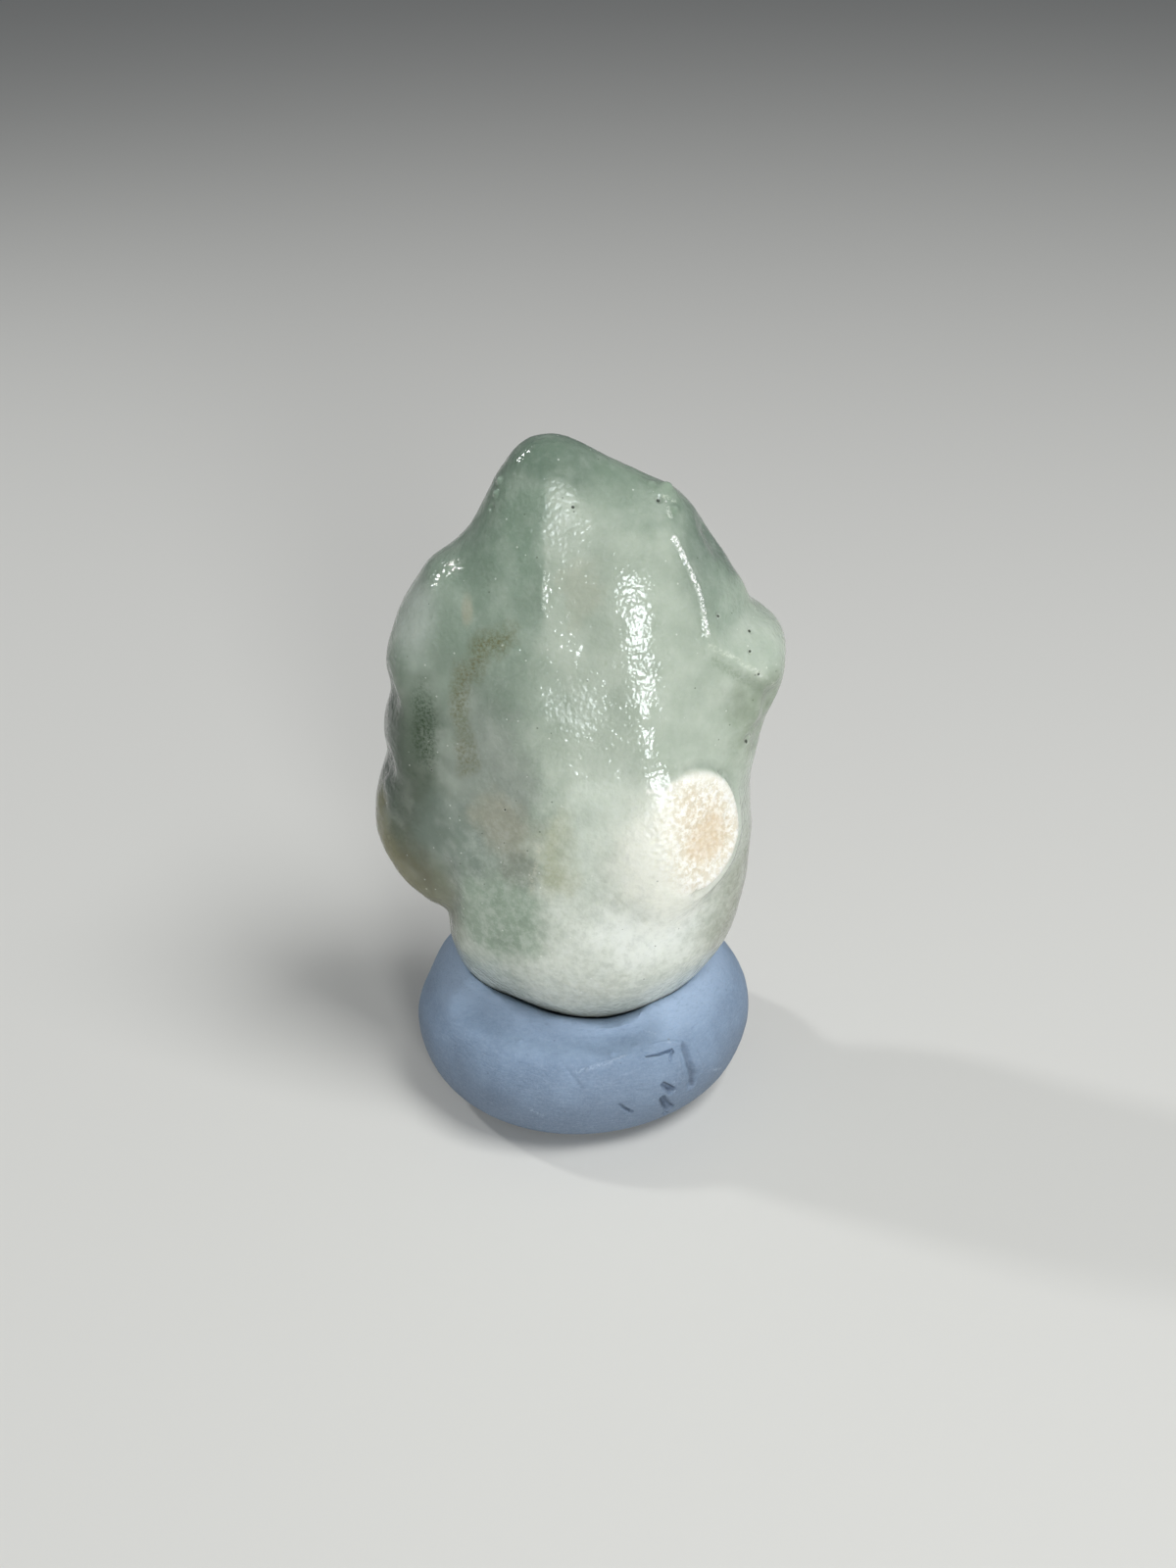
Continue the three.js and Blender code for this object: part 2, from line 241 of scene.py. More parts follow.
# Each place has its width and its height.
SWELLS = {
    "peak": ((-1.6, 1.0, 47.6), 5.0, 0.35),
    "right edge above the knob": ((10.9, 0.9, 37.7), 2.0, 0.35),
    "chipped lump": ((5.9, 0.9, 44.9), 1.4, 0.35),
    "left lump": ((-8.9, -0.8, 39.2), 1.8, 0.12),
}
SCOOPS = {
    "left edge, high": ((-12.3, -1.2, 31.0), 1.9, -0.35),
    "left edge, middle": ((-12.6, -0.8, 25.8), 1.7, -0.35),
    "left edge, low": ((-13.2, -1.0, 22.9), 1.2, -0.20),
    "left face": ((-6.4, -5.4, 33.0), 3.0, -0.30),
    "left face, low": ((-5.6, -6.6, 23.0), 2.6, -0.25),
    "beside the eye": ((3.0, -8.6, 27.0), 2.4, -0.15),
    "left edge, nib": ((-11.9, -1.0, 32.4), 0.9, -0.22),
    "left edge, lower nib": ((-12.9, 0.0, 24.7), 0.8, -0.22),
    "right of the peak": ((2.4, -0.4, 45.6), 2.0, -0.20),
    "shoulder edge": ((8.9, 1.0, 41.4), 2.4, -0.50),
    "right edge under the knob": ((12.9, -2.0, 31.2), 1.5, -0.60),
    "right edge above the eye": ((12.2, -2.4, 29.0), 2.2, -0.40),
    "behind the shoulder": ((8.4, 3.4, 38.0), 2.8, -0.45),
    "back, high": ((-2.5, 6.6, 38.0), 3.6, -0.50),
    "back, middle": ((4.0, 7.0, 27.5), 4.2, -0.45),
    "back, left": ((-8.5, 6.0, 24.0), 3.0, -0.50),
    "back, low": ((-2.0, 8.0, 17.0), 3.4, -0.40),
}

for place, width, height in SWELLS.values():
    stroke(stone, [place], width, height)
for line, width, height, unrest, thin_start in LINES.values():
    stroke(stone, line, width, height, unrest, thin_start)
for place, width, height in SCOOPS.values():
    stroke(stone, [place], width, height)
print("broad strokes:", len(LINES) + len(SWELLS) + len(SCOOPS))

# %% [markdown]
# ## A finer skin
# One level of Subdivision Surface quarters every face, which gives the skin's pimples enough
# vertices. A second level everywhere would be four times as heavy. The crisp marks are few, so
# only the faces near them are cut again, with Subdivide in edit mode.


# %% Subdivide the stone
def refine(piece, lines, reach, cuts=1):
    """Cuts the faces within reach of any of the lines into smaller ones."""
    points, _ = surface(piece)
    nearest = np.full(len(points), np.inf)
    for places in lines:
        nearest = np.minimum(nearest, distance_to_line(points, drop_on_skin(piece, places))[0])
    near = nearest < reach
    chosen = [bool(near[list(face.vertices)].all()) for face in piece.data.polygons]
    work_on(piece)
    bpy.ops.object.mode_set(mode="EDIT")
    bpy.ops.mesh.select_all(action="DESELECT")
    bpy.ops.object.mode_set(mode="OBJECT")
    piece.data.polygons.foreach_set("select", chosen)
    bpy.ops.object.mode_set(mode="EDIT")
    bpy.ops.mesh.subdivide(number_cuts=cuts, smoothness=0)
    bpy.ops.object.mode_set(mode="OBJECT")
    print(piece.name, "has", sum(len(face.vertices) - 2 for face in piece.data.polygons), "triangles")


modify(stone, "SUBSURF", levels=1, render_levels=1)

# %% [markdown]
# ## The crystal eye
# The eye is the flat end of a stub of white crystals. On its right it ends in a crisp rim with
# a step behind it, and on its left it runs out into the face. The rim is an arc worked out in
# the eye's own plane: across is the way to its right, upward is the way to its top. The grains
# are a Displace modifier with a cell pattern, held to the eye by a vertex group.

# %% Eye
EYE_CENTRE = np.array([7.9, -7.6, 24.2])
EYE_TURN = math.radians(42)
EYE_TIP = math.radians(8)
EYE_HALF_WIDTH = 3.8
EYE_HALF_HEIGHT = 4.3
EYE_GRAIN = 0.4 * MM
ARC_STEP = 10
GRAINS_END, GRAINS_FADE = 0.96, 0.2

eye_axis = Vector((math.sin(EYE_TURN), -math.cos(EYE_TURN), math.tan(EYE_TIP))).normalized()
eye_across = Vector((math.cos(EYE_TURN), math.sin(EYE_TURN), 0))
eye_upward = eye_axis.cross(eye_across)


def eye_arc(size, first, last):
    """Places on an oval round the eye, from the first to the last angle in degrees, 0 to the right."""
    places = []
    for angle in np.radians(np.arange(first, last + 1, ARC_STEP)):
        right = eye_across * (EYE_HALF_WIDTH * size * math.cos(angle))
        up = eye_upward * (EYE_HALF_HEIGHT * size * math.sin(angle))
        places.append(tuple(Vector(EYE_CENTRE) + right + up))
    return places


def eye_share(points):
    """0 at the middle of the eye, 1 on its rim."""
    offset = points - EYE_CENTRE
    right = offset @ np.array(eye_across) / EYE_HALF_WIDTH
    up = offset @ np.array(eye_upward) / EYE_HALF_HEIGHT
    depth = offset @ np.array(eye_axis) / EYE_HALF_WIDTH
    return np.sqrt(right ** 2 + up ** 2 + depth ** 2)


def weight_group(piece, name, weights):
    """A vertex group with these weights, one for each vertex."""
    group = piece.vertex_groups.new(name=name)
    for index in np.flatnonzero(weights > 0.01):
        group.add([int(index)], float(weights[index]), "REPLACE")
    return group


eye_edge = eye_arc(1.0, -110, 110)
eye_rim = eye_arc(0.94, -80, 90)
step_behind_rim = eye_arc(1.12, -90, 90)
refine(stone, [eye_edge, SHOULDER_CREST, KNOB_LEDGE], reach=1.1)
refine(stone, [[tuple(EYE_CENTRE)]], reach=3.4)
stroke(stone, eye_rim, width=0.8, height=0.13)
stroke(stone, step_behind_rim, width=0.6, height=-0.22)

points, _ = surface(stone)
eye_weights = np.clip((GRAINS_END - eye_share(points)) / GRAINS_FADE, 0, 1)
weight_group(stone, "eye", eye_weights)
grains = bpy.data.textures.new("crystal grains", "VORONOI")
grains.noise_scale = EYE_GRAIN
modify(
    stone, "DISPLACE", texture=grains, texture_coords="LOCAL",
    strength=0.16 * MM, mid_level=0.4, vertex_group="eye",
)
print("eye covers", int((eye_weights > 0.5).sum()), "vertices")

# %% [markdown]
# ## Pits, chips and lines
# The small marks: the chipped lump at the top right with its dark pit, pin-holes, nicks left of
# the peak, small swells that catch a spark, a hair line below the peak and the sharp edge of
# the shoulder's crest. They are the same strokes with small widths. A pit is listed apart from
# the chips, because its bottom also gets a dark colour later.

# %% Small strokes on the stone
PITS = [
    ((5.3, 0.1, 44.2), 0.40, -0.34),
    ((0.0, -1.8, 44.6), 0.35, -0.16),
    ((9.5, -5.2, 27.4), 0.35, -0.18),
    ((11.5, -3.6, 29.0), 0.45, -0.22),
    ((11.3, -1.5, 35.9), 0.36, -0.20),
    ((11.3, -2.8, 35.1), 0.30, -0.14),
    ((11.9, -3.1, 33.6), 0.30, -0.14),
    ((9.2, -2.6, 37.6), 0.30, -0.14),
    ((12.0, -3.0, 29.3), 0.45, -0.26),
    ((11.6, -3.0, 20.0), 0.35, -0.16),
    ((-9.4, -4.0, 27.0), 0.22, -0.08),
    ((-4.5, -6.8, 25.6), 0.22, -0.08),
    ((3.2, 8.0, 33.0), 0.50, -0.25),
    ((-6.0, 7.0, 20.5), 0.60, -0.25),
    ((-1.0, 6.5, 40.0), 0.40, -0.20),
    ((8.0, 6.0, 22.0), 0.45, -0.20),
]
CHIPS = [
    ((5.9, 0.9, 44.9), 0.60, 0.22),
    ((5.0, 0.9, 45.3), 0.45, 0.16),
    ((6.5, -0.3, 43.9), 0.45, 0.18),
    ((-4.6, 0.5, 45.4), 0.45, 0.20),
    ((-4.9, 0.1, 44.7), 0.40, 0.18),
    ((-5.3, -0.3, 44.0), 0.40, -0.16),
    ((5.0, 6.8, 30.0), 0.80, 0.16),
    ((-2.0, 8.0, 27.5), 0.70, -0.20),
    ((4.5, -6.6, 32.6), 0.90, 0.08),
    ((5.0, -7.3, 30.1), 2.00, 0.15),
    ((2.5, -7.5, 28.6), 0.55, 0.09),
    ((-0.9, -5.4, 36.7), 0.40, 0.05),
    ((-0.3, -5.5, 36.5), 0.35, 0.05),
    ((0.1, -5.6, 36.2), 0.40, 0.05),
    ((0.3, -5.5, 36.7), 0.35, 0.05),
    ((-4.0, -5.1, 36.2), 0.45, 0.09),
    ((-3.5, -5.2, 36.3), 0.40, 0.08),
    ((-4.5, -4.8, 36.5), 0.35, 0.07),
]
RIDGE_LINE = [(-1.8, -3.7, 41.0), (-1.8, -4.1, 39.9), (-1.9, -4.5, 38.9)]
FINE_LINES = [(RIDGE_LINE, 0.40, 0.06, 0.2), (SHOULDER_CREST, 0.40, 0.10, 0.08)]

refine(stone, [[place] for place, _, _ in PITS + CHIPS], reach=0.9)
for place, width, height in PITS + CHIPS:
    stroke(stone, [place], width, height)
for line, width, height, unrest in FINE_LINES:
    stroke(stone, line, width, height, unrest)
print("small strokes:", len(PITS) + len(CHIPS) + len(FINE_LINES))

# %% [markdown]
# ## Wind-polished skin
# Desert wind leaves a skin like orange peel: soft pimples about half a millimetre apart on
# slow, wider waves. A brush would take days. Two Displace modifiers with cloud patterns make
# both, in the geometry, so that the skin is there from every side and in the outline too.

# %% Skin of the stone
WAVES = {"size": 3.2 * MM, "strength": 0.20 * MM}
PIMPLES = {"size": 0.60 * MM, "strength": 0.03 * MM}


def cloud_skin(piece, name, size, strength):
    """Moves the whole skin in and out by a cloud pattern of this size."""
    clouds = bpy.data.textures.new(name, "CLOUDS")
    clouds.noise_scale = size
    clouds.noise_depth = 1
    modify(piece, "DISPLACE", texture=clouds, texture_coords="LOCAL", strength=strength, mid_level=0.5)


cloud_skin(stone, "waves", **WAVES)
cloud_skin(stone, "pimples", **PIMPLES)
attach(stone, "root")
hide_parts("agate")

# %% [markdown]
# ## The putty
# The holder is a ball of soft putty, rolled between the fingers, pressed flat on the table and
# then pressed down by the stone. Two strokes lower its lip in front, where the photograph shows
# more of the stone. Its solid keeps a hair's gap to the stone, which real putty doesn't. A
# Shrinkwrap modifier pulls the print against the stone, held to the print and its lip by a
# vertex group, so that the putty grips the stone with a crisp lip.

# %% Putty body
PUTTY_VOXEL = 0.42 * MM
LOW_LIP = [
    (-7.0, -5.6, 9.3), (-4.2, -7.7, 9.0), (-1.2, -8.6, 8.8), (1.6, -8.6, 8.9), (4.4, -8.0, 9.2),
]
PRESSED_LIP = [(-4.8, -6.3, 9.0), (-2.5, -6.9, 9.0), (0.2, -7.3, 9.0), (2.0, -7.0, 9.0)]
GRIP_FROM, GRIP_TO = 1.1, 0.5

putty = copy_of_solid("putty_stand", "putty_ball")
modify(putty, "REMESH", mode="VOXEL", voxel_size=PUTTY_VOXEL, use_smooth_shade=True)
modify(putty, "SMOOTH", factor=0.5, iterations=6)
stroke(putty, LOW_LIP, width=2.5, height=-0.75)
stroke(putty, PRESSED_LIP, width=5.0, height=-0.60, straight_up=True)
modify(putty, "SUBSURF", levels=1, render_levels=1)


def gap_to(piece, other):
    """How far each vertex of piece is from the other piece, in millimetres."""
    places = [vertex.co for vertex in piece.data.vertices]
    return np.array([(other.closest_point_on_mesh(p)[1] - p).length for p in places]) / MM


grip = np.clip((GRIP_FROM - gap_to(putty, stone)) / (GRIP_FROM - GRIP_TO), 0, 1)
weight_group(putty, "grip", grip)
modify(
    putty, "SHRINKWRAP", target=stone, wrap_method="NEAREST_SURFACEPOINT",
    offset=0.03 * MM, vertex_group="grip",
)
print("grip on", int((grip > 0.5).sum()), "vertices")

# %% [markdown]
# ## Finger dents and cuts
# Putty remembers everything that touched it. The dents of the fingertips are broad and
# shallow, the cuts of a fingernail are short and sharp with a small burr beside them, and
# crumbs leave gouges. All are strokes of the same brush, on a skin cut finer near the cuts.

# %% Strokes on the putty
DENTS = [
    ((-8.0, -8.0, 5.6), 4.2, -0.35),
    ((3.0, -11.6, 4.4), 3.6, -0.22),
    ((11.0, -4.5, 5.4), 3.8, -0.28),
    ((-11.2, 2.0, 5.6), 4.0, -0.32),
    ((-4.0, 11.2, 5.0), 4.2, -0.35),
    ((7.5, 9.0, 5.2), 4.0, -0.30),
]
CRESCENT = [
    (7.5, -8.3, 7.2), (7.6, -8.5, 6.9), (7.8, -8.8, 6.2), (8.1, -8.9, 5.2), (8.1, -9.1, 4.4),
]
# Each cut has its line, its width, its height, how thin it starts and how much painted shade darkens its
# bottom.
CUTS = {
    "long slit": ([(4.9, -9.8, 7.6), (5.8, -9.5, 7.5), (6.7, -9.0, 7.4)], 0.17, -0.45, 0.3, 0.8),
    "hook of the slit": ([(6.7, -9.0, 7.4), (6.6, -9.5, 7.0)], 0.17, -0.18, 1.0, 0.4),
    "lip over the slit": ([(5.4, -8.9, 7.9), (6.8, -8.6, 7.8), (7.3, -8.4, 7.5)], 0.30, 0.12, 0.5, 0.0),
    "crescent": (CRESCENT, 0.50, -0.40, 0.8, 0.35),
    "inner edge of it": ([(7.0, -8.9, 7.0), (7.2, -9.3, 6.2), (7.2, -9.6, 5.2)], 0.24, 0.08, 0.6, 0.0),
    "outer edge of it": ([(8.1, -8.0, 7.0), (8.4, -8.2, 6.2), (8.7, -8.3, 5.0)], 0.28, 0.10, 0.6, 0.0),
    "first gouge": ([(6.1, -10.4, 5.5), (6.7, -10.1, 4.8)], 0.42, -0.60, 0.7, 0.75),
    "second gouge": ([(6.1, -10.5, 4.3), (6.3, -10.2, 3.6), (6.6, -9.8, 2.9)], 0.46, -0.62, 0.7, 0.65),
    "third gouge": ([(6.2, -9.8, 2.5), (6.4, -9.5, 2.1)], 0.26, -0.30, 0.8, 0.4),
    "short slit": ([(3.1, -11.4, 4.6), (3.5, -11.2, 4.1), (3.9, -11.1, 3.7)], 0.18, -0.46, 0.5, 0.8),
    "long soft scratch": ([(-1.0, -10.5, 7.8), (-0.2, -11.3, 7.1), (0.4, -11.7, 6.4)], 0.34, -0.07, 0.6, 0.0),
    "wiped fold": ([(1.0, -11.0, 7.5), (2.2, -10.6, 7.7), (3.6, -10.1, 7.8)], 0.40, 0.06, 0.6, 0.0),
}
CRUMBS = [
    ((-3.8, -8.4, 8.4), 0.45, 0.12),
    ((2.6, -9.8, 8.0), 0.40, 0.12),
    ((4.2, -9.2, 8.4), 0.45, 0.12),
    ((8.3, -7.0, 8.0), 0.35, -0.08),
    ((0.9, -11.0, 7.4), 0.30, 0.08),
]

for place, width, height in DENTS:
    stroke(putty, [place], width, height)
refine(putty, [cut[0] for cut in CUTS.values()], reach=0.7, cuts=2)
for places, width, height, thin_start, _ in CUTS.values():
    stroke(putty, places, width, height, unrest=0.06, thin_start=thin_start)
for place, width, height in CRUMBS:
    stroke(putty, [place], width, height)
print("strokes on the putty:", len(DENTS) + len(CUTS) + len(CRUMBS))

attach(putty, "root")
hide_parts("putty_stand")

# %% [markdown]
# ## Building materials
# A material is a small factory of nodes. The helpers below keep each station to one line: a
# node, its settings and what feeds it. Colours are given as the eye reads them on a screen,
# from 0 to 255, and turned into light values. Every pattern starts from Object coordinates in
# millimetres, so its size is a real size, and it stays on the stone from all sides.


# %% Node helpers
# A Mix node has sockets for numbers, vectors and colours under the same names, so those for
# colours go by their places.
MIX_UNDER, MIX_OVER, MIX_RESULT = 6, 7, 2


def paint(red, green, blue):
    """A screen colour as light values with full opacity."""
    def to_light(level):
        share = level / 255
        return share / 12.92 if share <= 0.04045 else ((share + 0.055) / 1.055) ** 2.4

    return (to_light(red), to_light(green), to_light(blue), 1.0)


def station(tree, kind, inputs=None, **settings):
    """Adds one node. A value that is a socket of another node is wired to it."""
    made = tree.nodes.new(kind)
    for setting, value in settings.items():
        setattr(made, setting, value)
    for name, value in (inputs or {}).items():
        if isinstance(value, bpy.types.NodeSocket):
            tree.links.new(value, made.inputs[name])
        else:
            made.inputs[name].default_value = value
    return made


def calculate(tree, operation, *values):
    """A Math node's result."""
    return station(tree, "ShaderNodeMath", dict(enumerate(values)), operation=operation).outputs[0]


def vector_calculate(tree, operation, *values):
    """A Vector Math node's vector."""
    made = station(tree, "ShaderNodeVectorMath", dict(enumerate(values)), operation=operation)
    return made.outputs["Value" if operation in ("LENGTH", "DOT_PRODUCT") else "Vector"]


def fade(tree, value, low, high, start=0.0, end=1.0, steps="SMOOTHSTEP"):
    """Turns a value into start below low and end above high, with a smooth way between."""
    inputs = {"Value": value, "From Min": low, "From Max": high, "To Min": start, "To Max": end}
    return station(tree, "ShaderNodeMapRange", inputs, interpolation_type=steps).outputs["Result"]


def tint(tree, mask, under, over, strength=None):
    """Lays the colour over on the colour under where the mask is 1, or less by the strength."""
    if strength is not None:
        mask = calculate(tree, "MULTIPLY", mask, strength)
    inputs = {"Factor": mask, MIX_UNDER: under, MIX_OVER: over}
    return station(tree, "ShaderNodeMix", inputs, data_type="RGBA").outputs[MIX_RESULT]


def clouds(tree, place, scale, detail=2.0, roughness=0.5):
    """A Noise Texture of that many waves in a millimetre."""
    inputs = {"Vector": place, "Scale": scale, "Detail": detail, "Roughness": roughness}
    return station(tree, "ShaderNodeTexNoise", inputs)


def new_material(name):
    """A material with its Principled BSDF, and the place on the piece in millimetres."""
    material = bpy.data.materials.new(name)
    material.use_nodes = True
    tree = material.node_tree
    shader = tree.nodes["Principled BSDF"]
    spot = station(tree, "ShaderNodeTexCoord").outputs["Object"]
    place = vector_calculate(tree, "SCALE", spot)
    place.node.inputs["Scale"].default_value = 1 / MM
    return material, tree, shader, place


# %% [markdown]
# ## Shared effects
# Three effects are laid many times, so each is a node group, built once. The patch is a soft,
# ragged oval round a place: it lays the agate's stains and clouds where the photograph shows
# them. The streak is a soft line between two places, and the specks are a few random cells out
# of many, each with a small dot. Stone and putty both have streaks and specks.


# %% Patch, speck and streak groups
DOT_EDGE = 1.4


def new_group(name, inputs, output):
    """An empty shader group with named number and vector inputs and one output."""
    group = bpy.data.node_groups.new(name, "ShaderNodeTree")
    for socket, value in inputs.items():
        kind = "NodeSocketVector" if value == "vector" else "NodeSocketFloat"
        made = group.interface.new_socket(socket, in_out="INPUT", socket_type=kind)
        if value != "vector":
            made.default_value = value
    group.interface.new_socket(output, in_out="OUTPUT", socket_type="NodeSocketFloat")
    given = group.nodes.new("NodeGroupInput").outputs
    return group, given, group.nodes.new("NodeGroupOutput").inputs[output]


def make_patch_group():
    """1 inside an oval of half-widths Size round Centre, fading over Soft, its edge moved by Unrest."""
    inputs = {"Place": "vector", "Unrest": "vector", "Centre": "vector", "Size": "vector", "Soft": 0.5}
    group, given, result = new_group("Patch", inputs, "Mask")
    moved = vector_calculate(group, "ADD", given["Place"], given["Unrest"])
    offset = vector_calculate(group, "SUBTRACT", moved, given["Centre"])
    share = vector_calculate(group, "LENGTH", vector_calculate(group, "DIVIDE", offset, given["Size"]))
    outer = calculate(group, "ADD", 1.0, calculate(group, "MULTIPLY", given["Soft"], 0.5))
    inner = calculate(group, "SUBTRACT", 1.0, calculate(group, "MULTIPLY", given["Soft"], 0.5))
    group.links.new(fade(group, share, inner, outer, 1.0, 0.0), result)
    return group


def make_speck_group():
    """Small dots in a share of the cells of a random cell pattern."""
    inputs = {"Place": "vector", "Cells in a mm": 1.0, "Share": 0.1, "Dot": 0.2}
    group, given, result = new_group("Specks", inputs, "Mask")
    pattern = {"Vector": given["Place"], "Scale": given["Cells in a mm"]}
    cells = station(group, "ShaderNodeTexVoronoi", pattern)
    chance = station(group, "ShaderNodeSeparateColor", {"Color": cells.outputs["Color"]}).outputs["Red"]
    chosen = calculate(group, "LESS_THAN", chance, given["Share"])
    edge = calculate(group, "MULTIPLY", given["Dot"], DOT_EDGE)
    dot = fade(group, cells.outputs["Distance"], given["Dot"], edge, 1.0, 0.0)
    group.links.new(calculate(group, "MULTIPLY", chosen, dot), result)
    return group


def make_streak_group():
    """1 on the straight line from Start to End, fading out at Width from it."""
    inputs = {"Place": "vector", "Start": "vector", "End": "vector", "Width": 0.5}
    group, given, result = new_group("Streak", inputs, "Mask")
    along = vector_calculate(group, "SUBTRACT", given["End"], given["Start"])
    offset = vector_calculate(group, "SUBTRACT", given["Place"], given["Start"])
    length = vector_calculate(group, "DOT_PRODUCT", along, along)
    share = calculate(group, "DIVIDE", vector_calculate(group, "DOT_PRODUCT", offset, along), length)
    foot = vector_calculate(group, "SCALE", along)
    group.links.new(fade(group, share, 0.0, 1.0, steps="LINEAR"), foot.node.inputs["Scale"])
    distance = vector_calculate(group, "LENGTH", vector_calculate(group, "SUBTRACT", offset, foot))
    group.links.new(fade(group, distance, 0.0, given["Width"], 1.0, 0.0), result)
    return group


patch_group = make_patch_group()
speck_group = make_speck_group()
streak_group = make_streak_group()


def mask_of(tree, group, **inputs):
    """One node of a group, and its mask."""
    named = {name.replace("_", " ").capitalize(): value for name, value in inputs.items()}
    return station(tree, "ShaderNodeGroup", named, node_tree=group).outputs["Mask"]


def patch(tree, place, unrest, centre, size, soft):
    """The mask of one patch, in millimetres."""
    return mask_of(tree, patch_group, place=place, unrest=unrest, centre=centre, size=size, soft=soft)


def streak(tree, place, line, width):
    """The mask of a bent line through places in millimetres."""
    mask = None
    for start, end in zip(line[:-1], line[1:]):
        part = mask_of(tree, streak_group, place=place, start=start, end=end, width=width)
        mask = calculate(tree, "MAXIMUM", mask, part) if mask else part
    return mask


def specks(tree, place, cells, share, dot):
    """The mask of scattered specks."""
    return mask_of(tree, speck_group, place=place, cells_in_a_mm=cells, share=share, dot=dot)


# %% [markdown]
# ## The agate's colours
# Agate is nearly clear quartz full of fine mineral threads, so its colour lies in the depth
# and looks cloudy. A line down the front parts a dark grey-green left side from a pale right
# side. Low down the stone turns milky white. On these three grounds lie the patches: dark and
# teal clouds on the left, a brownish lobe, a pale knob, warm spots below the peak and the white
# halo of the eye. Some patches are painted shade: the far left is darkened partly by its own
# green and partly by painted shade, the shoulder's slope and the place under the knob are
# painted shade, and the lower right is partly olive, partly painted shade. The streaks are the
# threads: an olive one and a cream edge, with the pale line of the ledge. The dark line under
# the ledge is painted shade, and the white line on the crest is painted highlight. Each line of
# the lists is one of them.

# %% Colours of the agate
LEFT_GROUND = paint(142, 158, 143)
RIGHT_GROUND = paint(176, 187, 173)
MILK = paint(216, 221, 212)

# Each patch has its colour, its strength, its middle, its half-widths, how softly it fades and
# how ragged it is.
PATCHES = {
    "green peak": ((108, 127, 112), 0.95, (0.0, 1.6, 49.4), (9.0, 9.0, 4.0), 0.7, 0.8),
    "green shoulder": ((128, 147, 130), 0.8, (5.6, 0.9, 45.4), (4.4, 5.0, 3.0), 0.8, 0.8),
    # Painted shade: the slope of the shoulder turns away from the light.
    "painted shade on the shoulder slope": ((98, 118, 105), 0.85, (9.8, 1.0, 41.6), (3.2, 6.0, 4.4), 0.9, 0.3),
    # Partly the stone's own dark green, partly painted shade on the side turned from the light.
    "dark left side and painted shade": ((70, 84, 66), 0.85, (-13.0, -1.5, 24.5), (5.4, 6.0, 8.5), 1.0, 1.0),
    "teal left edge": ((40, 62, 51), 0.85, (-14.4, 0.8, 27.5), (3.4, 5.0, 7.0), 0.9, 0.3),
    "green under the peak": ((126, 148, 130), 0.6, (-5.5, -1.5, 43.5), (3.5, 5.0, 4.5), 0.9, 1.0),
    "cloud on the left lump": ((214, 223, 215), 0.5, (-10.3, -1.4, 37.0), (1.8, 3.0, 2.8), 1.0, 0.6),
    "grey of the left face": ((154, 162, 153), 0.7, (-5.5, -6.0, 28.0), (3.2, 4.0, 5.0), 0.9, 1.2),
    "blue-grey cloud": ((116, 132, 122), 0.6, (-8.0, -5.0, 22.5), (3.4, 4.0, 3.0), 0.9, 1.2),
    "rosy grey cloud": ((166, 166, 148), 0.7, (-4.6, -7.0, 24.4), (2.2, 3.0, 2.1), 0.8, 0.8),
    "dark cloud by the ridge": ((134, 142, 128), 0.7, (-3.6, -7.5, 21.4), (1.4, 3.0, 1.6), 0.7, 0.6),
    "brownish lobe": ((96, 94, 62), 0.85, (-12.4, -2.0, 16.6), (5.0, 6.0, 4.0), 1.0, 0.25),
    "green in the foot": ((136, 158, 137), 0.7, (-5.2, -7.0, 17.2), (3.6, 4.0, 3.0), 0.8, 1.0),
    "olive by the ridge": ((166, 170, 142), 0.7, (-0.9, -8.0, 22.8), (1.3, 3.0, 3.2), 0.8, 0.8),
    "warm spots": ((188, 184, 164), 0.22, (0.3, -4.3, 39.8), (1.0, 2.0, 1.9), 0.9, 1.0),
    "tan spot": ((172, 168, 146), 0.5, (-6.7, -3.2, 38.2), (0.35, 1.0, 0.9), 1.0, 0.12),
    "pale knob": ((176, 188, 174), 0.8, (12.9, -1.3, 36.6), (4.0, 5.0, 3.3), 0.35, 0.3),
    "green hollow before the knob": ((144, 160, 145), 0.7, (9.7, -2.2, 38.4), (1.7, 3.0, 2.4), 0.9, 0.4),
    "shade under the knob": ((126, 140, 119), 0.7, (12.0, -2.8, 30.6), (2.6, 4.0, 2.9), 0.9, 1.0),
    # Partly olive stone, partly painted shade on the lower right, which curves away.
    "olive right foot and painted shade": ((116, 120, 98), 0.8, (13.4, -1.6, 14.8), (4.8, 6.0, 7.0), 1.2, 1.2),
    "bright cloud in the foot": ((232, 236, 231), 0.7, (4.6, -8.0, 16.6), (3.6, 4.0, 2.8), 1.0, 1.2),
    "warm grey foot": ((186, 188, 175), 0.6, (0.5, -4.0, 8.8), (9.0, 9.0, 4.0), 0.9, 1.0),
    "pale cloud beside the eye": ((210, 219, 207), 0.75, (2.2, -8.3, 24.8), (3.2, 4.0, 4.2), 1.0, 1.2),
    "olive stain on the back": ((116, 122, 90), 0.6, (-5.0, 6.0, 31.0), (2.0, 4.0, 4.5), 1.0, 1.4),
    "milky cloud on the back": ((204, 211, 202), 0.7, (4.0, 8.0, 24.0), (4.0, 4.0, 5.0), 1.0, 1.6),
    "white halo": ((238, 239, 229), 0.9, (6.6, -7.8, 22.6), (4.2, 4.5, 4.8), 0.9, 0.7),
}
OLIVE_THREAD = [
    (-4.4, -4.8, 37.2), (-6.0, -4.9, 36.2), (-7.4, -4.8, 33.4), (-7.6, -4.9, 31.0), (-6.9, -5.4, 28.2),
]
CREAM_EDGE = [(-2.4, -7.8, 23.4), (-2.8, -7.9, 21.6), (-3.0, -8.0, 19.2)]
